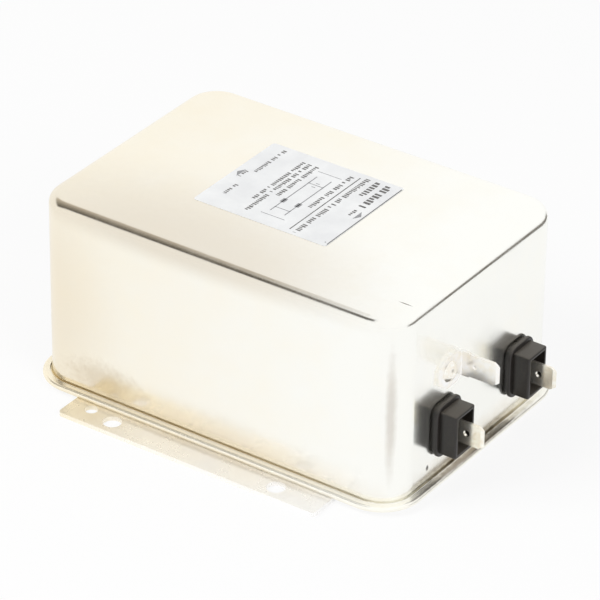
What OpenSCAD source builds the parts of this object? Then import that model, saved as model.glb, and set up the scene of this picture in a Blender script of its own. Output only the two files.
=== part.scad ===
// Line filter in a drawn metal can: four quick-connect terminals in plastic
// shrouds, a riveted earth tab, and a flat plate underneath with four screw holes.
// Millimetres. +X is the line end, +Z is up. The origin is the middle of the four
// screw holes on the underside of the mounting plate.

/* [Case] */
// Length of the drawn can over its walls, without the rolled rim
case_l = 109.5; // [100:0.5:140]
// Width of the drawn can over its walls
case_w = 75.2; // [70:0.2:100]
// Height from the top of the mounting plate to the top of the can
case_h = 54; // [50:0.5:80]
// Thickness of the can's sheet
case_wall = 0.6; // [0.4:0.1:1.0]
// Radius of the can's four upright corners
case_corner_r = 9; // [7:0.5:14]
// Radius of the edge around the can's top
case_edge_r = 3; // [2:0.5:5]
// How far the middle of the can stands toward the line end of the screw holes' middle
case_shift = 1; // [-3:0.5:3]

/* [Rolled rim] */
// How far the can's foot is turned outward
foot_out = 2; // [1.6:0.1:3]
// Thickness of the base sheet that is rolled over the foot
base_t = 0.5; // [0.4:0.1:0.8]
// Radius of the soft bend where the can's wall turns into its foot
foot_bend_r = 0.5; // [0.3:0.1:1]
// Gap left between the rolled edge and the bend above the foot
rim_gap = 0.15; // [0.05:0.05:0.3]

/* [Mounting plate] */
// Length of the plate along the can
plate_l = 79.2; // [74:0.2:96]
// How far the plate reaches out past the rolled rim on each side
plate_ledge = 7.75; // [7.4:0.05:20]
// Thickness of the plate
plate_t = 1.2; // [1:0.1:2]
// Radius of the plate's corners
plate_corner_r = 1.2; // [0.5:0.1:3]
// Spacing of the screw holes along the can
hole_pitch_x = 50.8; // [40:0.2:60]
// Distance of the screw holes from the plate's long edge
hole_edge = 4.2; // [3.6:0.1:4.4]
// Diameter of the screw holes
hole_d = 5; // [4:0.1:5.4]
// Diameter of the one small locating hole
pilot_d = 3.6; // [3:0.1:3.8]
// Distance of the small hole from the middle of the plate, along the can
pilot_x = 33.2; // [32:0.2:35]
// Distance of the small hole from the rolled rim
pilot_rim = 2; // [2:0.1:3.2]

/* [Terminals] */
// Spacing of the two terminals of an end
terminal_pitch = 33.6; // [30:0.2:40]
// How far each pair of terminals stands off the middle of the can
terminal_shift = 2; // [0:0.1:2.2]
// Height of the terminals' middle above the underside of the plate
terminal_z = 16.2; // [15:0.1:20]
// Width of a quick-connect tab
tab_w = 6.35; // [4.8:0.05:6.35]
// Thickness of a quick-connect tab
tab_t = 0.8; // [0.5:0.1:0.8]
// How far a tab stands out of the can's wall
tab_out = 11.8; // [11:0.1:14]
// Diameter of the hole near a tab's tip
tab_hole_d = 1.8; // [1.2:0.1:2]
// Distance of that hole from the tab's tip
tab_hole_back = 4.9; // [4:0.1:5.5]
// Length of the bevelled corners of a tab's tip
tab_bevel_l = 1.4; // [1:0.1:2]
// Depth of the bevelled corners of a tab's tip
tab_bevel_h = 0.9; // [0.5:0.1:1.2]
// How far a tab reaches inside behind its shroud
tab_tail = 5; // [4:0.5:7]

/* [Shrouds] */
// Width of a shroud's tube
shroud_w = 8.4; // [7.6:0.1:9]
// Height of a shroud's tube
shroud_h = 12.2; // [11:0.1:13]
// Wall of a shroud's tube
shroud_wall = 0.9; // [0.7:0.1:1]
// Radius of the corners of a shroud's tube
shroud_corner_r = 0.5; // [0.3:0.1:1]
// How far a shroud stands out of the can's wall
shroud_out = 6.3; // [5.5:0.1:9]
// How far the lip stands out around a shroud's tube
shroud_lip = 1.4; // [1:0.1:2.5]
// Thickness of that lip
shroud_lip_t = 0.9; // [0.6:0.1:1.5]
// Radius of the lip's corners
shroud_lip_r = 3.1; // [1.5:0.1:4]
// Thickness of the seat that holds the lip off the can's wall
shroud_seat_t = 0.7; // [0.4:0.1:1]
// How far the seat stands in from the lip's edge
shroud_seat_in = 0.7; // [0.4:0.1:1]
// How far a shroud's neck reaches in behind the can's wall
shroud_neck = 2.4; // [2:0.1:4]
// Gap between a shroud's neck and its window in the can
shroud_fit = 0.1; // [0.05:0.05:0.2]

/* [Earth tab] */
// Height of the earth tab's middle above the underside of the plate
earth_z = 31.4; // [30.8:0.1:36]
// Place of the earth tab's blade across the can
earth_y = -8.5; // [-10:0.5:-6]
// Length of the earth tab's foot along the wall
earth_foot_l = 10; // [9.4:0.1:12]
// Height of the earth tab's foot
earth_foot_h = 9; // [8.4:0.1:10]
// Length of the cuts at the foot's far corners
earth_cut_l = 3.8; // [1:0.1:4]
// Height of the cuts at the foot's far corners
earth_cut_h = 2.4; // [1:0.1:2.6]
// Distance of the rivet from the blade's near face
rivet_off = 5; // [4.6:0.1:5.4]
// How far the earth tab stands out of the can's wall
earth_out = 11.6; // [10:0.1:13]
// Height of the tab's wider root beside the bend
earth_root_w = 7; // [6.6:0.1:8]
// Length of that wider root, from the can's wall
earth_root_l = 3; // [2.4:0.1:4]
// Inner radius of the earth tab's bend
earth_bend_r = 0.4; // [0.2:0.1:0.8]
// Diameter of the rivet's head
rivet_head_d = 5.6; // [4.5:0.1:6.2]
// Height of the rivet's head
rivet_head_h = 1.5; // [1:0.1:2]
// Diameter of the rivet's shank
rivet_d = 3.2; // [2.4:0.1:4]

/* [Label] */
// Length of the label along the can
label_l = 40.4; // [30:0.2:60]
// Width of the label across the can
label_w = 35.4; // [30:0.2:50]
// Thickness of the label
label_t = 0.1; // [0.05:0.05:0.3]
// Place of the label's middle along the can
label_x = -0.1; // [-5:0.1:5]
// Place of the label's middle across the can
label_y = 2.1; // [-5:0.1:5]

/* [Choke] */
// Outer diameter of the ring core
core_od = 36; // [30:0.5:38]
// Bore of the ring core
core_bore = 21; // [19:0.5:23]
// Height of the ring core
core_h = 15; // [10:0.5:18]
// Rounding of the ring core's edges
core_edge_r = 1; // [0.5:0.1:1.5]
// Diameter of the winding wire
wire_d = 1.4; // [1:0.1:1.6]
// Turns on each half of the ring core
turns = 9; // [5:1:10]
// Angle over which each winding is spread
wound_angle = 132; // [120:2:140]
// Thickness of the divider between the two windings
divider_t = 1.6; // [1:0.1:2.5]
// Gap between a wire and what it lies against
lay_gap = 0.1; // [0.05:0.05:0.2]

/* [Capacitors and resistor] */
// Length of the capacitors between the two lines
x_cap_l = 31; // [26:0.5:32]
// Thickness of those capacitors
x_cap_t = 13; // [8:0.5:14]
// Height of those capacitors
x_cap_h = 22; // [15:0.5:24]
// Distance of each capacitor's middle from the end of the can
x_cap_end = 20.75; // [19:0.25:22]
// Distance of the capacitors to the can from the line end of the can
y_cap_end = 26.75; // [25:0.25:28]
// Distance of those capacitors from the choke's middle, across the can
y_cap_y = 28.5; // [27:0.5:30]
// Length of the capacitors from each line to the can
y_cap_l = 13; // [12:0.5:14]
// Thickness of those capacitors
y_cap_t = 6; // [4:0.5:7]
// Height of those capacitors
y_cap_h = 12; // [9:0.5:14]
// Diameter of the discharge resistor
resistor_d = 3.6; // [2.5:0.1:4]
// Length of the discharge resistor's body
resistor_l = 10; // [7:0.5:12]
// Diameter of the component leads
lead_d = 0.8; // [0.6:0.1:1]
// Diameter of the hook-up wires
hookup_d = 1.4; // [1:0.1:1.8]

/* [Potting] */
// Height of the potting compound's surface above the underside of the plate
potting_z = 27; // [26:0.5:29]
// Thickness of the insulating sheet on the inside of the base
sheet_t = 0.4; // [0.2:0.1:0.6]

/* [Hidden] */
$fn = 48;
e = 0.01;

// Heights, from the underside of the mounting plate
base_z = plate_t;
foot_z = base_z + base_t;
top_z = plate_t + case_h;
ceiling_z = top_z - case_wall;

// The rolled rim wraps the foot, so its height is three sheets
rim_h = 2*base_t + case_wall;
rim_r = rim_h/2;
rim_reach = foot_out + base_t - rim_r;

// The plate and its holes across the can, from the rolled rim outward
rim_y = case_w/2 + foot_out + base_t;
plate_w = 2*(rim_y + plate_ledge);
hole_pitch_y = plate_w - 2*hole_edge;
pilot_y = rim_y + pilot_rim;

// Outer faces of the end walls, where the terminals stand
line_x = case_shift + case_l/2;
load_x = case_shift - case_l/2;
rivet_y = earth_y - tab_t/2 - rivet_off;

// The choke lies in the compound with its lower face at the surface
winding_r = core_od/2 + wire_d + lay_gap;
winding_in_r = core_bore/2 - wire_d - lay_gap;
choke_z = potting_z + lay_gap + wire_d + lay_gap;
wound_start = 90 - wound_angle/2;
wound_r = core_od/2 + wire_d/2 + lay_gap;
winding_tail_z = choke_z - wire_d - 3;

// Leads under the compound, and where the hook-up wires pass them
earth_lead_l = 3;
x_cap_x = case_l/2 - x_cap_end;
y_cap_x = case_l/2 - y_cap_end;
x_lead_y = x_cap_l/2 - 4.5;
y_lead_x = y_cap_l/2 - 1.5;
wire_side = hookup_d/2 + lead_d/2 + lay_gap;
wire_off = tab_t/2 + hookup_d/2 + lay_gap;
foot_x = wound_r*cos(wound_start);
foot_y = wound_r*sin(wound_start);
resistor_x = x_cap_x + x_cap_t/2 + 3.5;
earth_wire_x = resistor_x + resistor_d/2 + hookup_d/2 + 1.5;

// The rivet's upset tail inside the wall
rivet_tail_d = rivet_head_d - 0.8;
rivet_tail_h = 0.9;

// A rectangle with round corners, centred
module round_rect(l, w, r) {
    square([l - 2*r, w], center = true);
    square([l, w - 2*r], center = true);
    for (x = [-1, 1], y = [-1, 1])
        translate([x*(l/2 - r), y*(w/2 - r)]) circle(r);
}

// The can's outline in plan, grown by g
module case_plan(g) {
    translate([case_shift, 0])
        round_rect(case_l + 2*g, case_w + 2*g, case_corner_r + g);
}

// Half of a section with a round shoulder: as wide as w, as high as h
module shoulder(w, h, r) {
    square([w, h - r]);
    square([w - r, h]);
    translate([w - r, h - r]) circle(r);
}

// A drawn block: upright corners of radius cr, top edge of radius er
module drawn_block(l, w, h, cr, er) {
    for (x = [-1, 1], y = [-1, 1])
        translate([x*(l/2 - cr), y*(w/2 - cr), 0])
            rotate_extrude() shoulder(cr, h, er);
    rotate([90, 0, 90]) translate([0, 0, -(l/2 - cr)]) linear_extrude(l - 2*cr)
        for (m = [0, 1]) mirror([m, 0]) shoulder(w/2, h, er);
    rotate([90, 0, 0]) translate([0, 0, -(w/2 - cr)]) linear_extrude(w - 2*cr)
        for (m = [0, 1]) mirror([m, 0]) shoulder(l/2, h, er);
}

// Stands its children, drawn in (across, up), out of the line end's wall
module at_line_end() {
    translate([line_x, 0, 0]) children();
}

// The same on the load end
module at_load_end() {
    translate([load_x, 0, 0]) mirror([1, 0, 0]) children();
}

// The places of the two terminals across the can: side is -1 or 1
function terminal_y(side) = terminal_shift + side*terminal_pitch/2;

module window() {
    translate([-case_wall - 1, 0, 0]) rotate([90, 0, 90]) linear_extrude(case_wall + 2)
        round_rect(shroud_w - 0.8 + 2*shroud_fit, shroud_h - 0.8 + 2*shroud_fit, 0.6);
}

module can() {
    color("ivory") difference() {
        union() {
            translate([case_shift, 0, foot_z])
                drawn_block(case_l, case_w, top_z - foot_z, case_corner_r, case_edge_r);
            translate([0, 0, foot_z]) linear_extrude(case_wall) case_plan(foot_out);
            translate([0, 0, foot_z + case_wall]) around_case() bend_section();
        }
        translate([case_shift, 0, foot_z - 1])
            drawn_block(case_l - 2*case_wall, case_w - 2*case_wall, ceiling_z - foot_z + 1,
                case_corner_r - case_wall, case_edge_r - case_wall);
        for (side = [-1, 1]) {
            at_line_end() translate([0, terminal_y(side), terminal_z]) window();
            at_load_end() translate([0, terminal_y(side), terminal_z]) window();
        }
        at_line_end() translate([0, rivet_y, earth_z]) rotate([0, 90, 0])
            cylinder(d = rivet_d, h = 4, center = true);
    }
}

// Section of the soft bend above the foot, drawn outward of the case's outline
module bend_section() {
    difference() {
        translate([-e, 0]) square(foot_bend_r + e);
        translate([foot_bend_r, foot_bend_r]) circle(foot_bend_r);
    }
}

// Section of the rolled rim, drawn outward of the case's outline
module rim_section() {
    lip = foot_bend_r + rim_gap;
    difference() {
        union() {
            translate([rim_reach, rim_r]) circle(rim_r);
            translate([-e, 0]) square([rim_reach + e, base_t]);
            translate([lip, rim_h - base_t]) square([rim_reach - lip, base_t]);
        }
        translate([0, base_t]) square([foot_out, case_wall]);
    }
}

// Sweeps a section drawn outward of the case's outline around the case
module around_case() {
    l = case_l - 2*case_corner_r;
    w = case_w - 2*case_corner_r;
    translate([case_shift, 0, 0]) {
        for (x = [-1, 1], y = [-1, 1]) translate([x*l/2, y*w/2, 0])
            rotate([0, 0, x > 0 ? (y > 0 ? 0 : 270) : (y > 0 ? 90 : 180)])
                rotate_extrude(angle = 90) translate([case_corner_r, 0]) children();
        for (s = [0, 180]) rotate([0, 0, s]) {
            translate([0, case_w/2, 0]) rotate([90, 0, 90])
                translate([0, 0, -l/2]) linear_extrude(l) children();
            translate([case_l/2, 0, 0]) rotate([90, 0, 0])
                translate([0, 0, -w/2]) linear_extrude(w) children();
        }
    }
}

module base_plate() {
    color("beige") {
        translate([0, 0, base_z]) around_case() rim_section();
        translate([0, 0, base_z]) linear_extrude(base_t) case_plan(rim_gap);
    }
}

module mounting_plate() {
    color("wheat") linear_extrude(plate_t) difference() {
        round_rect(plate_l, plate_w, plate_corner_r);
        for (x = [-1, 1], y = [-1, 1])
            translate([x*hole_pitch_x/2, y*hole_pitch_y/2]) circle(d = hole_d);
        translate([-pilot_x, -pilot_y]) circle(d = pilot_d);
    }
}

module label() {
    color("white") translate([label_x, label_y, top_z])
        linear_extrude(label_t) round_rect(label_l, label_w, 0.8);
}

// A shroud: seat on the wall, lip around it, open tube outside, neck through the window
module shroud() {
    flange_t = shroud_seat_t + shroud_lip_t;
    seat = shroud_lip - shroud_seat_in;
    color([0.2, 0.19, 0.17]) difference() {
        rotate([90, 0, 90]) {
            linear_extrude(flange_t)
                round_rect(shroud_w + 2*seat, shroud_h + 2*seat, shroud_lip_r - shroud_seat_in);
            translate([0, 0, shroud_seat_t]) linear_extrude(shroud_lip_t)
                round_rect(shroud_w + 2*shroud_lip, shroud_h + 2*shroud_lip, shroud_lip_r);
            linear_extrude(shroud_out) round_rect(shroud_w, shroud_h, shroud_corner_r);
            translate([0, 0, -case_wall - shroud_neck])
                linear_extrude(case_wall + shroud_neck + e)
                    round_rect(shroud_w - 0.8, shroud_h - 0.8, 0.6);
        }
        rotate([90, 0, 90]) translate([0, 0, flange_t])
            linear_extrude(shroud_out)
                round_rect(shroud_w - 2*shroud_wall, shroud_h - 2*shroud_wall, 0.3);
        cube([2*shroud_out, tab_t, tab_w], center = true);
    }
}

// Side view of a tab's outer end, its root at x = 0
module tab_tip(out, w) {
    polygon([[0, -w/2], [out - tab_bevel_l, -w/2], [out, -w/2 + tab_bevel_h],
        [out, w/2 - tab_bevel_h], [out - tab_bevel_l, w/2], [0, w/2]]);
}

// The tip seen from above, bevelled to half its thickness
module tab_bevel(out, t) {
    polygon([[-out, -t/2], [out - 0.8, -t/2], [out, -t/4], [out, t/4],
        [out - 0.8, t/2], [-out, t/2]]);
}

// A quick-connect tab: blade outside, narrower solder tail inside
module tab() {
    back = -case_wall - shroud_neck;
    color("silver") intersection() {
        rotate([90, 0, 0]) translate([0, 0, -tab_t/2]) linear_extrude(tab_t) difference() {
            union() {
                tab_tip(tab_out, tab_w);
                translate([back, -tab_w/2]) square([-back + e, tab_w]);
                translate([back - tab_tail, -tab_w/4]) square([tab_tail + e, tab_w/2]);
            }
            translate([tab_out - tab_hole_back, 0]) circle(d = tab_hole_d);
            translate([back - tab_tail + 1.6, 0]) circle(d = 1.4);
        }
        translate([0, 0, -10]) linear_extrude(20) tab_bevel(tab_out, tab_t);
    }
}

// The earth tab: a foot riveted to the wall and a blade bent out of its edge
module earth_tab() {
    edge = earth_y - tab_t/2 - earth_bend_r;
    far = earth_y - tab_t/2 - earth_foot_l;
    h = earth_foot_h/2;
    root = earth_root_w/2;
    bend_x = tab_t + earth_bend_r;
    color("silver") at_line_end() translate([0, 0, earth_z]) difference() {
        union() {
            rotate([90, 0, 90]) linear_extrude(tab_t)
                polygon([[edge, -root], [edge - 1.6, -h], [far + earth_cut_l, -h],
                    [far, -h + earth_cut_h], [far, h - earth_cut_h],
                    [far + earth_cut_l, h], [edge - 1.6, h], [edge, root]]);
            translate([bend_x, edge, -root])
                rotate([0, 0, 90]) rotate_extrude(angle = 90)
                    translate([earth_bend_r, 0]) square([tab_t, earth_root_w]);
            translate([0, earth_y, 0]) intersection() {
                rotate([90, 0, 0]) translate([0, 0, -tab_t/2]) linear_extrude(tab_t) {
                    translate([bend_x, 0]) tab_tip(earth_out - bend_x, tab_w);
                    translate([bend_x, -root]) square([earth_root_l - bend_x, 2*root]);
                }
                translate([0, 0, -10]) linear_extrude(20) tab_bevel(earth_out, tab_t);
            }
        }
        translate([0, rivet_y, 0]) rotate([0, 90, 0])
            cylinder(d = rivet_d, h = 10, center = true);
        // A shallow dimple that a connector's detent finds
        translate([earth_out - tab_hole_back - 2, earth_y - tab_t/2 - 0.5, 0]) sphere(0.8);
    }
}

module earth_rivet() {
    // Radius of the sphere whose cap is the rivet's head
    r = rivet_head_d/2;
    cap = (r*r + rivet_head_h*rivet_head_h)/(2*rivet_head_h);
    color("gainsboro") at_line_end() translate([tab_t, rivet_y, earth_z])
        rotate([0, 90, 0]) {
            intersection() {
                translate([0, 0, rivet_head_h - cap]) sphere(cap);
                cylinder(d = rivet_head_d + 1, h = rivet_head_h + 1);
            }
            translate([0, 0, -tab_t - case_wall - e])
                cylinder(d = rivet_d, h = tab_t + case_wall + 2*e);
            translate([0, 0, -tab_t - case_wall - rivet_tail_h])
                cylinder(d = rivet_tail_d, h = rivet_tail_h);
        }
}

module insulating_sheet() {
    color("tan") translate([0, 0, foot_z]) linear_extrude(sheet_t)
        case_plan(-case_wall - lay_gap);
}

// Where the pieces bedded in the compound stand: end and side are -1 or 1
module x_cap_place(end) {
    translate([end*x_cap_x, 0, potting_z]) children();
}

module y_cap_place(side) {
    translate([y_cap_x, side*y_cap_y, potting_z]) children();
}

// A pocket that opens at the compound's surface
module pocket(l, w, h) {
    translate([-l/2, -w/2, -e]) cube([l, w, h + e]);
}

module potting_compound() {
    ring_h = core_h + 2*wire_d + 4*lay_gap;
    color("dimgray") difference() {
        intersection() {
            translate([case_shift, 0, foot_z])
                drawn_block(case_l - 2*case_wall, case_w - 2*case_wall, ceiling_z - foot_z,
                    case_corner_r - case_wall, case_edge_r - case_wall);
            translate([-case_l, -case_w, potting_z]) cube([2*case_l, 2*case_w, case_h]);
        }
        // The choke's ring pocket, around a post that the divider crosses
        translate([0, 0, potting_z - e]) linear_extrude(ring_h + e) difference() {
            circle(winding_r + lay_gap);
            circle(winding_in_r - lay_gap);
        }
        translate([0, 0, potting_z]) pocket(core_bore, divider_t, ring_h);
        for (end = [-1, 1]) x_cap_place(end) pocket(x_cap_t, x_cap_l, x_cap_h);
        for (side = [-1, 1]) y_cap_place(side) pocket(y_cap_l, y_cap_t, y_cap_h);
        // Room for the rivet's tail and for the earth wire that leads up to it
        translate([line_x - case_wall - rivet_tail_h - lay_gap, rivet_y, earth_z])
            rotate([0, 90, 0]) cylinder(d = rivet_tail_d + 2*lay_gap, h = 4);
        translate([line_x - case_wall, rivet_y, potting_z])
            pocket(2*(hookup_d + 2*lay_gap), hookup_d + 2*lay_gap, earth_z - potting_z);
    }
}

module choke_core() {
    color("darkslategray") translate([0, 0, choke_z]) rotate_extrude()
        translate([(core_od + core_bore)/4, core_h/2])
            round_rect((core_od - core_bore)/2, core_h, core_edge_r);
}

// The divider stands across the core's bore and keeps the windings apart
module choke_divider() {
    color("khaki") translate([0, 0, choke_z]) linear_extrude(core_h) intersection() {
        square([core_bore, divider_t], center = true);
        circle(d = core_bore - lay_gap);
    }
}

function unit(v) = v/norm(v);

// The turn that stands the Z axis along v
function along(v) = [0, atan2(norm([v[0], v[1]]), v[2]), atan2(v[1], v[0])];

// Half the turn at corner i of a path, and the length that its bend takes off
function half_turn(path, i) = let (u = path[i] - path[i - 1], w = path[i + 1] - path[i])
    atan2(norm(cross(u, w)), u*w)/2;
function taken(path, i, b) = i == 0 || i == len(path) - 1 ? 0 : b*tan(half_turn(path, i));

// A bend of centre-line radius b at corner i of a path. It is swept about its own
// axis, from the direction in which the arriving wire lies seen from the bend's centre.
module bend(path, i, d, b) {
    u = unit(path[i] - path[i - 1]);
    w = unit(path[i + 1] - path[i]);
    axis = unit(cross(u, w));
    t = along(axis);
    start = cross(u, axis);
    side_x = [cos(t[1])*cos(t[2]), cos(t[1])*sin(t[2]), -sin(t[1])];
    side_y = [-sin(t[2]), cos(t[2]), 0];
    translate(path[i] + unit(w - u)*b/cos(half_turn(path, i)))
        rotate(t) rotate([0, 0, atan2(start*side_y, start*side_x)])
            rotate_extrude(angle = 2*half_turn(path, i)) translate([b, 0]) circle(d = d);
}

// Round wire of diameter d along a path, its corners bent to radius b
module wire_run(path, d, b) {
    for (i = [0 : len(path) - 2]) {
        v = path[i + 1] - path[i];
        a = taken(path, i, b);
        translate(path[i] + a*unit(v)) rotate(along(v))
            cylinder(d = d, h = norm(v) - a - taken(path, i + 1, b));
        if (i > 0) bend(path, i, d, b);
    }
}

function polar(r, a, z) = [r*cos(a), r*sin(a), z];

// A winding's path: in under the core, up its bore, out over the top and down.
// Both ends are straight tails outside the core.
function wound_path(side) = let (
        ri = core_bore/2 - wire_d/2 - lay_gap,
        z0 = choke_z - wire_d/2 - lay_gap,
        z1 = choke_z + core_h + wire_d/2 + lay_gap,
        step = side*wound_angle/turns)
    [polar(wound_r, side*wound_start, winding_tail_z),
        for (i = [0 : turns - 1]) each let (a = side*wound_start + i*step)
            [polar(wound_r, a, z0), polar(ri, a, z0), polar(ri, a, z1),
                polar(wound_r, a + step, z1)],
        polar(wound_r, side*(180 - wound_start), winding_tail_z)];

module choke_winding(side) {
    color("peru") wire_run(wound_path(side), wire_d, core_edge_r + lay_gap + wire_d/2);
}

// A capacitor's box standing on the origin
module capacitor_box(l, w, h) {
    translate([-l/2, -w/2, 0]) cube([l, w, h]);
}

// A capacitor between the lines, its two leads run down to the hook-up wires
module x_capacitor(end) {
    color("goldenrod") x_cap_place(end) {
        capacitor_box(x_cap_t, x_cap_l, x_cap_h);
        for (side = [-1, 1]) translate([0, side*x_lead_y, terminal_z - potting_z])
            cylinder(d = lead_d, h = potting_z - terminal_z + 1);
    }
}

// A capacitor from a line to the can: a long live lead and a short earth lead
module y_capacitor(side) {
    color("steelblue") {
        y_cap_place(side) {
            capacitor_box(y_cap_l, y_cap_t, y_cap_h);
            translate([y_lead_x, 0, -earth_lead_l]) cylinder(d = lead_d, h = earth_lead_l + 1);
        }
        wire_run([[y_cap_x - y_lead_x, side*y_cap_y, potting_z + 1],
            [y_cap_x - y_lead_x, side*y_cap_y, terminal_z],
            [y_cap_x - y_lead_x, side*(foot_y + wire_side), terminal_z]], lead_d, 1);
    }
}

// The resistor lies under the compound between the line capacitor and the wall
module discharge_resistor() {
    z = potting_z - resistor_d/2 - lay_gap;
    color("burlywood") {
        translate([resistor_x, resistor_l/2, z]) rotate([90, 0, 0])
            cylinder(d = resistor_d, h = resistor_l);
        for (side = [-1, 1]) wire_run([[resistor_x, side*(resistor_l/2 - 1), z],
            [resistor_x, side*x_lead_y, z],
            [x_cap_x + lead_d + lay_gap, side*x_lead_y, z]], lead_d, 1);
    }
}

// A hook-up wire from a terminal's tail past a capacitor's lead to the choke
module hookup_wire(end, side) {
    tail_x = (end > 0 ? line_x : load_x) - end*(case_wall + shroud_neck);
    y = terminal_y(side) - side*wire_off;
    pass_x = end*(x_cap_x + wire_side);
    color(end > 0 ? "firebrick" : "navy") wire_run([
        [tail_x - end*2, y, terminal_z],
        [pass_x, y, terminal_z],
        [pass_x, side*foot_y, terminal_z],
        [end*foot_x, side*foot_y, terminal_z],
        [end*foot_x, side*foot_y, winding_tail_z - lay_gap]], hookup_d, 2);
}

// The wire that ties both capacitors' earth leads to the rivet
module earth_wire() {
    z = potting_z - earth_lead_l;
    x = y_cap_x + y_lead_x + lead_d/2 + lay_gap;
    rivet_x = line_x - case_wall - hookup_d/2 - lay_gap;
    color("limegreen") {
        wire_run([[x, -y_cap_y, z], [earth_wire_x, -y_cap_y, z],
            [earth_wire_x, y_cap_y, z], [x, y_cap_y, z]], hookup_d, 2);
        wire_run([[earth_wire_x, rivet_y, z], [rivet_x, rivet_y, z],
            [rivet_x, rivet_y, earth_z - rivet_tail_d/2 - lay_gap]], hookup_d, 1.2);
    }
}

can();
base_plate();
mounting_plate();
label();
at_line_end() translate([0, terminal_y(-1), terminal_z]) shroud();  // line_shroud_left
at_line_end() translate([0, terminal_y(1), terminal_z]) shroud();  // line_shroud_right
at_load_end() translate([0, terminal_y(-1), terminal_z]) shroud();  // load_shroud_left
at_load_end() translate([0, terminal_y(1), terminal_z]) shroud();  // load_shroud_right
at_line_end() translate([0, terminal_y(-1), terminal_z]) tab();  // line_tab_left
at_line_end() translate([0, terminal_y(1), terminal_z]) tab();  // line_tab_right
at_load_end() translate([0, terminal_y(-1), terminal_z]) tab();  // load_tab_left
at_load_end() translate([0, terminal_y(1), terminal_z]) tab();  // load_tab_right
earth_tab();
earth_rivet();
insulating_sheet();
potting_compound();
choke_core();
choke_divider();
choke_winding(-1);  // choke_winding_left
choke_winding(1);  // choke_winding_right
x_capacitor(1);  // line_x_capacitor
x_capacitor(-1);  // load_x_capacitor
y_capacitor(-1);  // y_capacitor_left
y_capacitor(1);  // y_capacitor_right
discharge_resistor();
hookup_wire(1, -1);  // line_wire_left
hookup_wire(1, 1);  // line_wire_right
hookup_wire(-1, -1);  // load_wire_left
hookup_wire(-1, 1);  // load_wire_right
earth_wire();
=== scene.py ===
import bpy
import math
from mathutils import Matrix, Vector


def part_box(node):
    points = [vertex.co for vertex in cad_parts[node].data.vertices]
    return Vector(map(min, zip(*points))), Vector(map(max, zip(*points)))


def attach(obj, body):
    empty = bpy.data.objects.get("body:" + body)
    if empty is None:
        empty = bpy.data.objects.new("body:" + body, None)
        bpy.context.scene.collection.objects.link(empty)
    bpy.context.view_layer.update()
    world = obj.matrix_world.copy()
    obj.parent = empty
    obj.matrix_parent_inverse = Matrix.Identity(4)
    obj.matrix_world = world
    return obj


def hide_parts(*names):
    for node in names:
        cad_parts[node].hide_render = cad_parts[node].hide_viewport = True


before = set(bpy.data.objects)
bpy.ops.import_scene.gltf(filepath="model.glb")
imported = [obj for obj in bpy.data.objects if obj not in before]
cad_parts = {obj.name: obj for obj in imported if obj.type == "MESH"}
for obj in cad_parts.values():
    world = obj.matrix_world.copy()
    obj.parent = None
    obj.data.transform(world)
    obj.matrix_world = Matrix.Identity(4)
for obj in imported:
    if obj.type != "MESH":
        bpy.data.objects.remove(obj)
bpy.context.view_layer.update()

# The camera stands above the line end's near corner, far off with a long lens,
# turned a little about its own axis.
AZIMUTH = math.radians(34.37)
ELEVATION = math.radians(31.33)
ROLL = math.radians(0.769)
camera_data = bpy.data.cameras.new("camera")
camera_data.sensor_width = 36
camera_data.lens = 248.0
camera_data.clip_start = 0.05
camera_data.clip_end = 20
camera = bpy.data.objects.new("camera", camera_data)
bpy.context.scene.collection.objects.link(camera)
right = Vector((math.cos(AZIMUTH), math.sin(AZIMUTH), 0))
backward = Vector((math.sin(AZIMUTH) * math.cos(ELEVATION),
                   -math.cos(AZIMUTH) * math.cos(ELEVATION), math.sin(ELEVATION)))
upward = backward.cross(right)
turn = Matrix((right, upward, backward)).transposed().to_4x4()
turn = turn @ Matrix.Rotation(ROLL, 4, "Z")
# From the lens, the foot of the can's middle lies this far across, down and ahead
can_foot = Vector((0.001, 0, 0))
camera.matrix_world = turn
camera.location = can_foot - turn.to_3x3() @ Vector((-0.00112, -0.02162, -1.0681))
bpy.context.scene.camera = camera
bpy.context.scene.view_settings.view_transform = "Standard"

# ---------------------------------------------------------------------------
# The floor and the studio. A plain white floor that keeps a soft shadow, a
# white room, two soft boxes, and three grey cards that only reflections see.

def linear(hex_colour):
    """Turns an sRGB hex colour such as "f2ede0" to linear red, green, blue, alpha."""
    channels = [int(hex_colour[i:i + 2], 16) / 255 for i in (0, 2, 4)]
    return [c / 12.92 if c <= 0.04045 else ((c + 0.055) / 1.055) ** 2.4
            for c in channels] + [1.0]


def add_node(tree, kind, settings=(), inputs=()):
    """Adds a node; settings are its own fields, inputs are socket values or links."""
    node = tree.nodes.new(kind)
    for field, value in dict(settings).items():
        setattr(node, field, value)
    for socket, value in dict(inputs).items():
        if isinstance(value, bpy.types.NodeSocket):
            tree.links.new(value, node.inputs[socket])
        else:
            node.inputs[socket].default_value = value
    return node


def seen_directly(tree):
    """A node that gives 1 where the camera, gloss or glass sees a surface, else 0."""
    path = add_node(tree, "ShaderNodeLightPath")
    seen = add_node(tree, "ShaderNodeMath", {"operation": "MAXIMUM"},
                    {0: path.outputs["Is Camera Ray"], 1: path.outputs["Is Glossy Ray"]})
    return add_node(tree, "ShaderNodeMath", {"operation": "MAXIMUM"},
                    {0: seen.outputs[0], 1: path.outputs["Is Transmission Ray"]})


bpy.ops.object.select_all(action="DESELECT")
bpy.ops.mesh.primitive_plane_add(size=6, location=(0, 0, 0))
floor = bpy.context.object
floor.name = "floor"
white_paper = bpy.data.materials.new("white_paper_floor")
white_paper.use_nodes = True
tree = white_paper.node_tree
tree.nodes.clear()
seen = seen_directly(tree)
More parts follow.
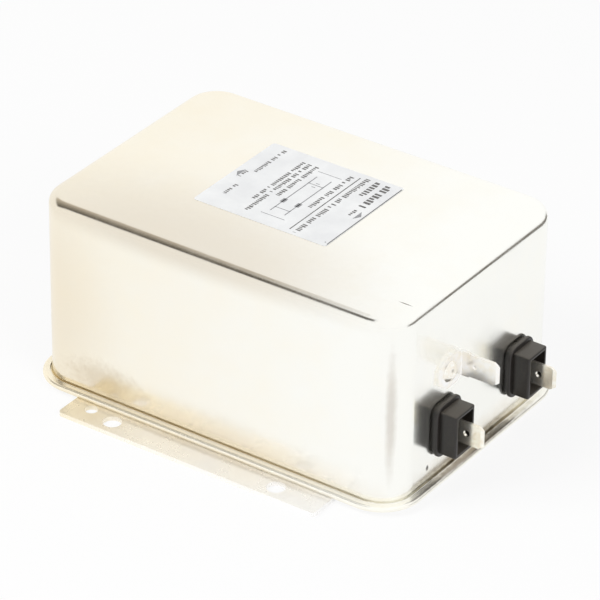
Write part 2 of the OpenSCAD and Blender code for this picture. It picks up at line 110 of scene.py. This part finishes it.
# What glows hides the shadow, so a part of the floor stays matt
share = add_node(tree, "ShaderNodeMath", {"operation": "MULTIPLY"},
                 {0: seen.outputs[0], 1: 0.85})
matt = add_node(tree, "ShaderNodeBsdfDiffuse", (), {"Color": (0.86, 0.86, 0.86, 1)})
glow = add_node(tree, "ShaderNodeEmission", (), {"Color": (1, 1, 1, 1), "Strength": 1.0})
mixed = add_node(tree, "ShaderNodeMixShader", (),
                 {0: share.outputs[0], 1: matt.outputs[0], 2: glow.outputs[0]})
add_node(tree, "ShaderNodeOutputMaterial", (), {"Surface": mixed.outputs[0]})
floor.data.materials.append(white_paper)

world = bpy.data.worlds.new("white_room")
bpy.context.scene.world = world
world.use_nodes = True
tree = world.node_tree
tree.nodes.clear()
seen = seen_directly(tree)
room = add_node(tree, "ShaderNodeBackground", (), {"Color": (1, 1, 1, 1), "Strength": 0.55})
paper = add_node(tree, "ShaderNodeBackground", (), {"Color": (1, 1, 1, 1), "Strength": 1.0})
mixed = add_node(tree, "ShaderNodeMixShader", (),
                 {0: seen.outputs[0], 1: room.outputs[0], 2: paper.outputs[0]})
add_node(tree, "ShaderNodeOutputWorld", (), {"Surface": mixed.outputs[0]})

# Two soft boxes light what is matt: the key stands high on the left, the fill on
# the right. Polished metal sees the white room in their place.
for name, place, size, power in (("key_lamp", (-0.55, -0.75, 0.95), 0.6, 9.0),
                                 ("fill_lamp", (0.95, -0.35, 0.7), 0.5, 4.0)):
    lamp_data = bpy.data.lights.new(name, "AREA")
    lamp_data.shape = "SQUARE"
    lamp_data.size = size
    lamp_data.energy = power
    lamp = bpy.data.objects.new(name, lamp_data)
    bpy.context.scene.collection.objects.link(lamp)
    lamp.location = place
    to_can = Vector((0, 0, 0.03)) - Vector(place)
    lamp.rotation_euler = to_can.to_track_quat("-Z", "Y").to_euler()
    lamp.visible_glossy = False


def grey_card(name, middle, across, along, size, greys):
    """A card that only reflections see, graded along its length from one grey to another."""
    material = bpy.data.materials.new(name)
    material.use_nodes = True
    tree = material.node_tree
    tree.nodes.clear()
    place = add_node(tree, "ShaderNodeTexCoord")
    parts = add_node(tree, "ShaderNodeSeparateXYZ", (), {0: place.outputs["UV"]})
    grey = add_node(tree, "ShaderNodeMapRange", (),
                    {"Value": parts.outputs["Y"], "To Min": greys[0], "To Max": greys[1]})
    card_glow = add_node(tree, "ShaderNodeEmission", (),
                         {"Color": linear("fff6e8"), "Strength": grey.outputs[0]})
    add_node(tree, "ShaderNodeOutputMaterial", (), {"Surface": card_glow.outputs[0]})
    bpy.ops.object.select_all(action="DESELECT")
    bpy.ops.mesh.primitive_plane_add(size=1)
    card = bpy.context.object
    card.name = name
    across, along = Vector(across).normalized(), Vector(along).normalized()
    turned = Matrix((across, along, across.cross(along))).transposed().to_4x4()
    card.data.transform(Matrix.Translation(middle) @ turned
                        @ Matrix.Diagonal((size[0], size[1], 1, 1)))
    card.data.materials.append(material)
    for ray in ("visible_camera", "visible_diffuse", "visible_shadow", "visible_transmission"):
        setattr(card, ray, False)


# The wide and the narrow card hang over the load end and darken the can's long
# top edge. The low one stands behind the line end and darkens its short top edge.
OVER_ACROSS = Vector((0.876, -0.144, 0.460))
OVER_ALONG = Vector((0, -0.954, -0.299))
OVER_MIDDLE = Vector((-0.241, -0.167, 0.472))
grey_card("card_wide", OVER_MIDDLE - 0.17*OVER_ACROSS - 0.03*OVER_ALONG,
          OVER_ACROSS, OVER_ALONG, (0.38, 0.50), (0.60, 0.03))
grey_card("card_narrow", OVER_MIDDLE + 0.11*OVER_ACROSS + 0.11*OVER_ALONG,
          OVER_ACROSS, OVER_ALONG, (0.22, 0.18), (0.15, 0.03))
grey_card("card_low", (0.155, 0.105, 0.024), (-1, 1, 0), (0, 0, 1), (0.26, 0.046), (0.12, 0.25))

# ---------------------------------------------------------------------------
# The can: one sheet of steel drawn to a cup with round corners and tinned, its
# foot turned outward under the rolled edge of the base. Handling has left it
# smudged, scratched on top, and brown in the seam under the earth tab.

MM = 0.001


def tin_plate(name, tints, roughness, haze, stains_and_shade=(), metallic=1.0):
    """Tin plate: a warm mirror softened by rolling lines, yellower toward the load end.
    Each mark, stain and painted shade alike, is its middle, its reach, its colour, its share and
    how ragged it is."""
    material = bpy.data.materials.new(name)
    material.use_nodes = True
    tree = material.node_tree
    shader = tree.nodes["Principled BSDF"]
    shader.inputs["Metallic"].default_value = metallic
    place = add_node(tree, "ShaderNodeTexCoord").outputs["Object"]
    parts = add_node(tree, "ShaderNodeSeparateXYZ", (), {0: place})
    # Smudges of handling about 12 mm across, and grains of the tin about 0.6 mm across
    smudge = add_node(tree, "ShaderNodeTexNoise", (),
                      {"Vector": place, "Scale": 1/(12*MM), "Detail": 5.0, "Roughness": 0.6})
    grain = add_node(tree, "ShaderNodeTexNoise", (),
                     {"Vector": place, "Scale": 1/(0.6*MM), "Detail": 2.0})
    along = add_node(tree, "ShaderNodeMapRange", (),
                     {"Value": parts.outputs["X"], "From Min": -56*MM, "From Max": 45*MM,
                      "To Min": -0.15, "To Max": 0.75})
    share = add_node(tree, "ShaderNodeMath", {"operation": "MULTIPLY_ADD", "use_clamp": True},
                     {0: smudge.outputs[0], 1: 0.5, 2: along.outputs[0]})
    colour = add_node(tree, "ShaderNodeMix", {"data_type": "RGBA"},
                      {0: share.outputs[0], 6: linear(tints[0]), 7: linear(tints[1])}).outputs[2]
    # Stains and painted shade have torn edges, with teeth about 2.5 mm across
    torn = add_node(tree, "ShaderNodeTexNoise", (),
                    {"Vector": place, "Scale": 1/(2.5*MM), "Detail": 4.0, "Roughness": 0.7})
    for middle, reach, tint, strength, ragged in stains_and_shade:
        away = add_node(tree, "ShaderNodeVectorMath", {"operation": "SUBTRACT"},
                        {0: place, 1: [c*MM for c in middle]})
        away = add_node(tree, "ShaderNodeVectorMath", {"operation": "DIVIDE"},
                        {0: away.outputs[0], 1: [c*MM for c in reach]})
        away = add_node(tree, "ShaderNodeVectorMath", {"operation": "LENGTH"},
                        {0: away.outputs[0]})
        edge = add_node(tree, "ShaderNodeMath", {"operation": "MULTIPLY_ADD"},
                        {0: torn.outputs[0], 1: ragged, 2: away.outputs["Value"]})
        mask = add_node(tree, "ShaderNodeMapRange", {"interpolation_type": "SMOOTHSTEP"},
                        {"Value": edge.outputs[0], "From Min": 0.25 + 0.4*ragged,
                         "From Max": 1.0 + 0.5*ragged, "To Min": strength, "To Max": 0.0})
        colour = add_node(tree, "ShaderNodeMix", {"data_type": "RGBA"},
                          {0: mask.outputs[0], 6: colour, 7: linear(tint)}).outputs[2]
    tree.links.new(colour, shader.inputs["Base Color"])
    rough = add_node(tree, "ShaderNodeMapRange", (),
                     {"Value": smudge.outputs[0], "From Min": 0.35, "From Max": 0.7,
                      "To Min": roughness, "To Max": roughness + haze})
    tree.links.new(rough.outputs[0], shader.inputs["Roughness"])
    # Hollows about 25 mm across and a few hundredths deep, under the fine grain
    hollow = add_node(tree, "ShaderNodeTexNoise", (),
                      {"Vector": place, "Scale": 1/(25*MM), "Detail": 1.0})
    bump = add_node(tree, "ShaderNodeBump", (),
                    {"Height": hollow.outputs[0], "Distance": 0.06*MM, "Strength": 1.0})
    bump = add_node(tree, "ShaderNodeBump", (),
                    {"Height": grain.outputs[0], "Distance": 0.004*MM, "Strength": 1.0,
                     "Normal": bump.outputs[0]})
    tree.links.new(bump.outputs[0], shader.inputs["Normal"])
    return material


def dress(material, *nodes):
    """Gives nodes of the frame their material."""
    for node in nodes:
        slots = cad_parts[node].data.materials
        slots.clear()
        slots.append(material)


CAN_MARKS_AND_PAINTED_SHADE = (
    # The top is duller toward its long near edge and the long wall toward the load end; painted
    # shade and a painted reflection of the rim and plate darken both walls toward the foot
    ((-10, -44, 55), (75, 50, 8), "ddd2c0", 0.60, 0.1),
    ((-56, -38, 25), (34, 8, 45), "efe2ca", 0.55, 0.2),
    ((0, -38, 2), (75, 6, 11), "e9d9bd", 0.50, 0.3),
    ((-33, -38, 8), (15, 5, 7), "cfbd9f", 0.45, 0.9),
    ((56, 0, 2), (4, 42, 9), "ddd0b6", 0.45, 0.6),
    # A painted reflection as a brown band down the near corner, a scratch on top, a pit and the
    # seam's residue
    ((53.1, -35.5, 28), (1.4, 6, 24), "8f7355", 0.30, 0.5),
    ((51.1, -26.6, 55.2), (2.6, 0.28, 2), "5f5345", 0.85, 0.2),
    ((55.75, -21.9, 7.0), (1.0, 0.8, 1.1), "2e261e", 0.95, 0.2),
    ((56.3, -4, 3.0), (1.6, 34, 1.0), "4f3d2b", 0.85, 0.9),
)
dress(tin_plate("tin_plate_drawn", ("fbf3df", "fffffa"), 0.16, 0.10, CAN_MARKS_AND_PAINTED_SHADE), "can")

# ---------------------------------------------------------------------------
# The base: thin tin plate whose edge is rolled over the can's foot and pressed
# flat, so that it stands as a soft-edged rim around the can.

RIM_SHADE_AND_RESIDUE = (
    # The darker band along the rim's rounded near edge is painted shade; the brown line at the
    # line end is the seam's residue
    ((0, -40, 1.5), (75, 4, 1.6), "e6d5b4", 0.30, 0.3),
    ((57.5, -4, 2.8), (2.2, 34, 0.6), "6a5238", 0.70, 0.9),
)
dress(tin_plate("tin_plate_rolled", ("fbf0d6", "fffdf4"), 0.20, 0.08, RIM_SHADE_AND_RESIDUE, 0.75),
      "base_plate")

# ---------------------------------------------------------------------------
# The mounting plate: cut and drilled from plated sheet, spot welded under the
# base. Its plating is dull beside the can's, and golden toward the load end.

PLATE_GOLD_AND_SHADOW = (
    ((-38, -44, 1.2), (20, 9, 3), "f3e4bd", 0.45, 0.4),
    # The dark line on the plate along the rim's foot is a painted shadow
    ((0, -41, 1.2), (60, 1.6, 2), "b9a88c", 0.35, 0.7),
)
dress(tin_plate("plated_sheet_drilled", ("fff6e0", "ffffff"), 0.24, 0.10, PLATE_GOLD_AND_SHADOW, 0.55),
      "mounting_plate")

# ---------------------------------------------------------------------------
# The label: white film stuck to the top of the can, printed in one grey ink. The
# print is plain rules, bars in rows, two triangles and a simple drawing.

import random


def moulded(name, tones, roughness, grain, relief, metallic=0.0, ior=1.5):
    """A finish of two close tones with a fine relief; grain and relief are in millimetres."""
    material = bpy.data.materials.new(name)
    material.use_nodes = True
    tree = material.node_tree
    shader = tree.nodes["Principled BSDF"]
    shader.inputs["Metallic"].default_value = metallic
    shader.inputs["IOR"].default_value = ior
    place = add_node(tree, "ShaderNodeTexCoord").outputs["Object"]
    spots = add_node(tree, "ShaderNodeTexNoise", (),
                     {"Vector": place, "Scale": 1/(grain*MM), "Detail": 4.0, "Roughness": 0.6})
    share = add_node(tree, "ShaderNodeMapRange", (),
                     {"Value": spots.outputs[0], "From Min": 0.35, "From Max": 0.65})
    colour = add_node(tree, "ShaderNodeMix", {"data_type": "RGBA"},
                      {0: share.outputs[0], 6: linear(tones[0]), 7: linear(tones[1])})
    tree.links.new(colour.outputs[2], shader.inputs["Base Color"])
    rough = add_node(tree, "ShaderNodeMapRange", (),
                     {"Value": spots.outputs[0], "From Min": 0.3, "From Max": 0.7,
                      "To Min": roughness, "To Max": roughness + 0.08})
    tree.links.new(rough.outputs[0], shader.inputs["Roughness"])
    bump = add_node(tree, "ShaderNodeBump", (),
                    {"Height": spots.outputs[0], "Distance": relief*MM, "Strength": 1.0})
    tree.links.new(bump.outputs[0], shader.inputs["Normal"])
    return material


dress(moulded("label_film_matt", ("f0f1f1", "e6e7e8"), 0.50, 9.0, 0.01), "label")

INK_THICKNESS = 0.02*MM
label_low, label_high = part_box("label")
label_middle = (Vector(label_low) + Vector(label_high))/2
ink_z = label_high[2] + INK_THICKNESS/2
# Rows of bars: from and to along the can, then from and to across it, in millimetres
BOLD_ROWS = ((15.6, 17.6, 3.4, 16.0), (12.5, 14.1, 8.2, 16.1))
PLAIN_ROWS = ((9.5, 10.9, -16.6, 16.1), (5.5, 6.8, -5.0, 14.7), (-4.5, -3.3, -4.0, 13.7),
              (-6.7, -5.5, -3.5, 13.7), (-6.7, -5.5, -14.6, -5.2), (-8.5, -7.4, -9.0, 13.7),
              (-15.9, -14.8, 2.6, 15.9), (-15.9, -14.8, -11.0, -5.5),
              (15.9, 16.9, -1.9, 1.4), (-17.8, -16.8, -1.6, 1.7))
RULES = ((19.8, 20.1, -16.7, 16.7), (8.0, 8.3, -15.9, 15.5))
SCHEMATIC = ((-1.3, -1.0, -11.1, 9.6), (3.1, 3.4, -11.1, 9.6), (-1.3, 3.4, 5.7, 5.95),
             (-1.3, 3.4, -9.0, -8.75), (0.5, 1.6, 4.6, 4.85), (0.5, 1.6, 6.6, 6.85),
             (-1.8, -0.5, -6.1, -4.1), (2.6, 3.9, -6.1, -4.1), (-2.6, 4.6, 12.0, 12.2),
             (-2.6, 4.6, -13.2, -13.0))
TRIANGLES = ((18.4, -0.6, 1.0), (-18.4, 0.1, -1.0))


def add_ink(low_x, high_x, low_y, high_y):
    """One flat printed patch, measured from the label's middle."""
    bpy.ops.mesh.primitive_plane_add(
        size=1, location=(label_middle.x + (low_x + high_x)/2*MM,
                          label_middle.y + (low_y + high_y)/2*MM, ink_z))
    bpy.ops.transform.resize(value=((high_x - low_x)*MM, (high_y - low_y)*MM, 1))


def add_row(low_x, high_x, low_y, high_y, heavy):
    """A row of short bars with gaps, as words look from afar."""
    y = high_y
    while y > low_y:
        bar = (0.75 if heavy else 0.45)*draw.uniform(0.8, 1.3)
        drop = draw.choice((0, 0, 0.15, 0.3))*(high_x - low_x)
        add_ink(low_x, high_x - drop, max(y - bar, low_y), y)
        y -= bar + (0.45 if heavy else 0.32)
        if draw.random() < 0.17:
            y -= 0.8


draw = random.Random(11)


def print_piece(name, tone, draw_print):
    """Prints one colour: flat patches given the ink's thickness."""
    bpy.ops.object.select_all(action="DESELECT")
    # The print starts from a small square dot near the label's corner
    bpy.ops.mesh.primitive_plane_add(
        size=0.3*MM, location=(label_middle.x + 19*MM, label_middle.y - 16*MM, ink_z))
    ink = bpy.context.object
    bpy.ops.object.transform_apply(location=True, rotation=True, scale=True)
    ink.name = name
    bpy.ops.object.mode_set(mode="EDIT")
    draw_print()
    bpy.ops.object.mode_set(mode="OBJECT")
    body = ink.modifiers.new("thickness", "SOLIDIFY")
    body.thickness = INK_THICKNESS
    body.offset = 0.0
    bpy.ops.object.modifier_apply(modifier=body.name)
    ink.data.materials.clear()
    ink.data.materials.append(moulded(name + "_ink", tone, 0.45, 0.5, 0.004))
    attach(ink, "root")


def dark_print():
    """The rows that stand for words, and the rules between them."""
    for row in BOLD_ROWS:
        add_row(*row, True)
    for row in PLAIN_ROWS:
        add_row(*row, False)
    for rule in RULES:
        add_ink(*rule)


def pale_print():
    """The schematic's lines and the two triangles."""
    for line in SCHEMATIC:
        add_ink(*line)
    for x, y, way in TRIANGLES:
        middle = (label_middle.x + x*MM, label_middle.y + y*MM, ink_z)
        bpy.ops.mesh.primitive_circle_add(vertices=3, radius=1*MM, fill_type="NGON",
                                          location=middle)
        # The circle's first corner points across; a quarter turn points it along
        bpy.ops.transform.rotate(value=way*math.pi/2, orient_axis="Z", center_override=middle)
        bpy.ops.transform.resize(value=(0.85, 2.4, 1), center_override=middle)


print_piece("label_words", ("5c5a58", "6a6866"), dark_print)
print_piece("label_drawing", ("9a9a9c", "8b8b8d"), pale_print)

# ---------------------------------------------------------------------------
# The four shrouds: black thermoplastic, moulded in one with a lip around an open
# tube and a neck that clips into the can's window. The moulding's edges are soft.

TUBE_WALL = 0.9*MM
TUBE_CORNER = 0.5*MM
LIP = 1.4*MM
LIP_THICKNESS = 0.9*MM
LIP_CORNER = 3.1*MM
SEAT_THICKNESS = 0.7*MM
SEAT_IN = 0.7*MM
STANDS_OUT = 6.3*MM
NECK_IN = 0.4*MM


def moulded_block(name, width, height, corner, low, high, soft):
    """A rounded block along X from low to high, with softened end edges."""
    bpy.ops.object.select_all(action="DESELECT")
    bpy.ops.mesh.primitive_cube_add(size=1)
    block = bpy.context.object
    block.name = name
    block.data.transform(Matrix.Translation(((low + high)/2, 0, 0))
                         @ Matrix.Diagonal((high - low, width, height, 1)))
    for wanted, radius, steps in (("sides", corner, 6), ("ends", soft, 3)):
        if radius == 0:
            continue
        bpy.ops.object.mode_set(mode="EDIT")
        bpy.ops.mesh.select_all(action="DESELECT")
        bpy.ops.object.mode_set(mode="OBJECT")
        for edge in block.data.edges:
            first, second = (block.data.vertices[v].co for v in edge.vertices)
            lengthwise = abs(first.x - second.x) > 0.5*(high - low)
            at_front = min(first.x, second.x) > high - 1e-6
            edge.select = lengthwise if wanted == "sides" else at_front
        bpy.ops.object.mode_set(mode="EDIT")
        bpy.ops.mesh.select_mode(type="EDGE")
        bpy.ops.mesh.bevel(offset=radius, offset_type="OFFSET", segments=steps, affect="EDGES")
        bpy.ops.object.mode_set(mode="OBJECT")
    return block


def joined(target, tool, operation):
    """Adds or cuts one block with another."""
    bpy.ops.object.select_all(action="DESELECT")
    bpy.context.view_layer.objects.active = target
    step = target.modifiers.new("shape", "BOOLEAN")
    step.operation = operation
    step.solver = "EXACT"
    step.object = tool
    bpy.ops.object.modifier_apply(modifier=step.name)
    bpy.data.objects.remove(tool)


shroud_low, shroud_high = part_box("line_shroud_left")
TUBE_W = shroud_high[1] - shroud_low[1] - 2*LIP
TUBE_H = shroud_high[2] - shroud_low[2] - 2*LIP
neck_reach = shroud_high[0] - shroud_low[0] - STANDS_OUT
flange = SEAT_THICKNESS + LIP_THICKNESS
shroud = moulded_block("shroud", TUBE_W, TUBE_H, TUBE_CORNER, 0, STANDS_OUT, 0.18*MM)
joined(shroud, moulded_block("lip", TUBE_W + 2*LIP, TUBE_H + 2*LIP, LIP_CORNER,
                             SEAT_THICKNESS, flange, 0.42*MM), "UNION")
joined(shroud, moulded_block("seat", TUBE_W + 2*(LIP - SEAT_IN), TUBE_H + 2*(LIP - SEAT_IN),
                             LIP_CORNER - SEAT_IN, 0, SEAT_THICKNESS + 0.1*MM, 0), "UNION")
joined(shroud, moulded_block("neck", TUBE_W - 2*NECK_IN, TUBE_H - 2*NECK_IN, 0.6*MM,
                             -neck_reach, 0.3*MM, 0), "UNION")
joined(shroud, moulded_block("pocket", TUBE_W - 2*TUBE_WALL, TUBE_H - 2*TUBE_WALL, 0.3*MM,
                             flange, STANDS_OUT + 1*MM, 0), "DIFFERENCE")
tab_low, tab_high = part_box("line_tab_left")
joined(shroud, moulded_block("slot", tab_high[1] - tab_low[1], tab_high[2] - tab_low[2], 0,
                             -neck_reach - 1*MM, STANDS_OUT, 0), "DIFFERENCE")
bpy.ops.object.select_all(action="DESELECT")
shroud.select_set(True)
bpy.context.view_layer.objects.active = shroud
bpy.ops.object.mode_set(mode="EDIT")
bpy.ops.mesh.select_all(action="SELECT")
bpy.ops.mesh.remove_doubles(threshold=0.002*MM)
bpy.ops.mesh.normals_make_consistent(inside=False)
bpy.ops.object.mode_set(mode="OBJECT")
bpy.ops.object.shade_smooth_by_angle(angle=math.radians(35))
black_nylon = moulded("nylon_black_moulded", ("1d1a18", "28241f"), 0.34, 0.7, 0.012)
# Painted sheen: faces that look up are mixed toward a pale grey
tree = black_nylon.node_tree
shader = tree.nodes["Principled BSDF"]
facing = add_node(tree, "ShaderNodeSeparateXYZ", (),
                  {0: add_node(tree, "ShaderNodeNewGeometry").outputs["Normal"]})
painted_top_sheen = add_node(tree, "ShaderNodeMapRange", (),
                {"Value": facing.outputs["Z"], "From Min": 0.5, "From Max": 1.0,
                 "To Min": 0.0, "To Max": 0.16})
plain = shader.inputs["Base Color"].links[0].from_socket
sheened_colour = add_node(tree, "ShaderNodeMix", {"data_type": "RGBA"},
                 {0: painted_top_sheen.outputs[0], 6: plain, 7: linear("b9b0a2")})
tree.links.new(sheened_colour.outputs[2], shader.inputs["Base Color"])
for node in ("line_shroud_left", "line_shroud_right", "load_shroud_left", "load_shroud_right"):
    low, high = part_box(node)
    piece = shroud.copy()
    piece.data = shroud.data.copy()
    bpy.context.scene.collection.objects.link(piece)
    piece.name = node + "_moulding"
    middle_y, middle_z = (low[1] + high[1])/2, (low[2] + high[2])/2
    if node.startswith("line"):
        piece.data.transform(Matrix.Translation((high[0] - STANDS_OUT, middle_y, middle_z)))
    else:
        piece.data.transform(Matrix.Translation((low[0] + STANDS_OUT, middle_y, middle_z))
                             @ Matrix.Rotation(math.pi, 4, "Z"))
    piece.data.materials.clear()
    piece.data.materials.append(black_nylon)
    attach(piece, "root")
    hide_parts(node)
bpy.data.objects.remove(shroud)

# ---------------------------------------------------------------------------
# The tabs: stamped from half-hard brass and tinned, pressed through the shrouds.
# The blade's faces are bright, with fine marks along the stamping.

tinned_brass = moulded("tinned_brass_stamped", ("fffdf4", "f8efdc"), 0.18, 1.2, 0.003, 0.85)
dress(tinned_brass, "line_tab_left", "line_tab_right", "load_tab_left", "load_tab_right")

# ---------------------------------------------------------------------------
# The earth tab: a stamped blade bent off a flat foot, held on the end wall by one
# steel rivet with a domed head. Both are tinned and brighter than the tabs.

dress(moulded("tinned_brass_bent", ("ffffff", "fffaf0"), 0.16, 1.5, 0.003, 0.7), "earth_tab")
dress(moulded("tinned_steel_headed", ("fffef8", "f8f0e2"), 0.18, 0.8, 0.005, 0.75), "earth_rivet")

# ---------------------------------------------------------------------------
# Inside the can. The compound is grey resin filled with sand, poured hot over the
# parts that stand on the insulating sheet; it sets matt and a little rough.

dress(moulded("pressboard_sheet", ("b8a67e", "a99566"), 0.80, 0.8, 0.03), "insulating_sheet")
dress(moulded("filled_casting_resin", ("3b3c3d", "2c2d2e"), 0.55, 1.0, 0.08), "potting_compound")

# ---------------------------------------------------------------------------
# The choke: a pressed and sintered ferrite ring with a lacquer coat, a moulded
# nylon web between its halves, and two windings of clear enamelled copper wire.

dress(moulded("ferrite_lacquered", ("2f3634", "3b4340"), 0.42, 0.9, 0.03), "choke_core")
dress(moulded("nylon_natural_moulded", ("d9d2b2", "cdc5a2"), 0.45, 2.0, 0.01), "choke_divider")
dress(moulded("copper_wire_enamelled", ("c06a3c", "a9552b"), 0.22, 2.5, 0.004, 1.0),
      "choke_winding_left", "choke_winding_right")

# ---------------------------------------------------------------------------
# The capacitors and the resistor: film capacitors in yellow moulded boxes, disc
# capacitors dipped in blue lacquer, and a resistor coated in tan lacquer.

dress(moulded("polyester_box_yellow", ("d9ae3e", "cfa233"), 0.32, 3.0, 0.01),
      "line_x_capacitor", "load_x_capacitor")
dress(moulded("epoxy_dip_blue", ("2f5d93", "274f80"), 0.25, 2.0, 0.03),
      "y_capacitor_left", "y_capacitor_right")
dress(moulded("resistor_lacquer_tan", ("b49b74", "a58b63"), 0.30, 1.0, 0.01),
      "discharge_resistor")

# ---------------------------------------------------------------------------
# The hook-up wires: tinned copper strand in extruded vinyl, red toward the line
# end, blue toward the load end and green to the earth rivet.

for tones, nodes in ((("8e2a22", "7d221b"), ("line_wire_left", "line_wire_right")),
                     (("24386f", "1d2e5e"), ("load_wire_left", "load_wire_right")),
                     (("4f8a3a", "437a30"), ("earth_wire",))):
    dress(moulded("vinyl_extruded_" + nodes[0].split("_")[0], tones, 0.38, 1.5, 0.01), *nodes)
